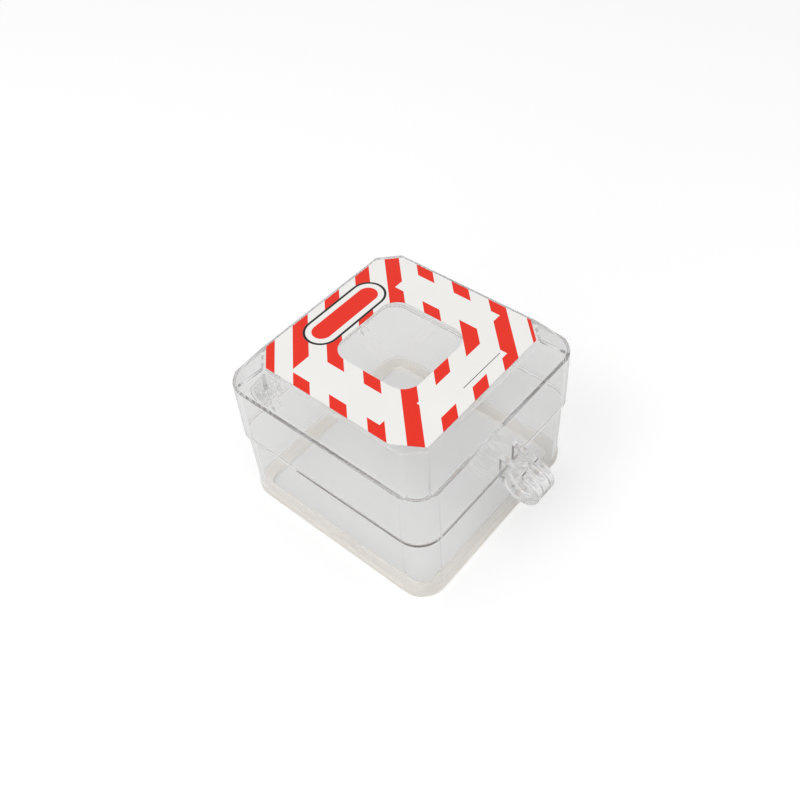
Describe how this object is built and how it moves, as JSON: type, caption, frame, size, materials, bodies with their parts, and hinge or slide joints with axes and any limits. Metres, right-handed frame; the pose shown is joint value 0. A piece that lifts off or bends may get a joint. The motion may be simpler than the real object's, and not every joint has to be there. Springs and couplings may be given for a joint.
{
  "type": "emergency stop button cover",
  "caption": "Clear square cover that encloses a panel push button: a hinged bevelled lid with a striped label, closed by a padlock hasp, on a frame held by a ring of foam tape.",
  "frame": {"origin": "middle of the taped underside, on the axis of the button that the cover stands over", "axes": "+Z away from the panel, +Y towards the hinges, -Y towards the hasp, +X along the hinge line"},
  "size_m": [0.0808, 0.1036, 0.0615],
  "materials": {
    "clear_plastic": "clear polycarbonate, gloss",
    "label_film": "printed vinyl, red and white stripes",
    "foam_tape": "pale adhesive foam"
  },
  "bodies": {
    "base": {"base_frame": "clear_plastic", "adhesive_tape": "foam_tape"},
    "lid": {"lid_cover": "clear_plastic", "hazard_label": "label_film", "hinge_pin_left": "clear_plastic", "hinge_pin_right": "clear_plastic"}
  },
  "joints": [
    {"name": "lid_hinge", "type": "hinge", "parent": "base", "child": "lid", "pos_m": [0, 0.0444, 0.0302], "axis": [-1, 0, 0], "range_deg": [0, 170]}
  ]
}
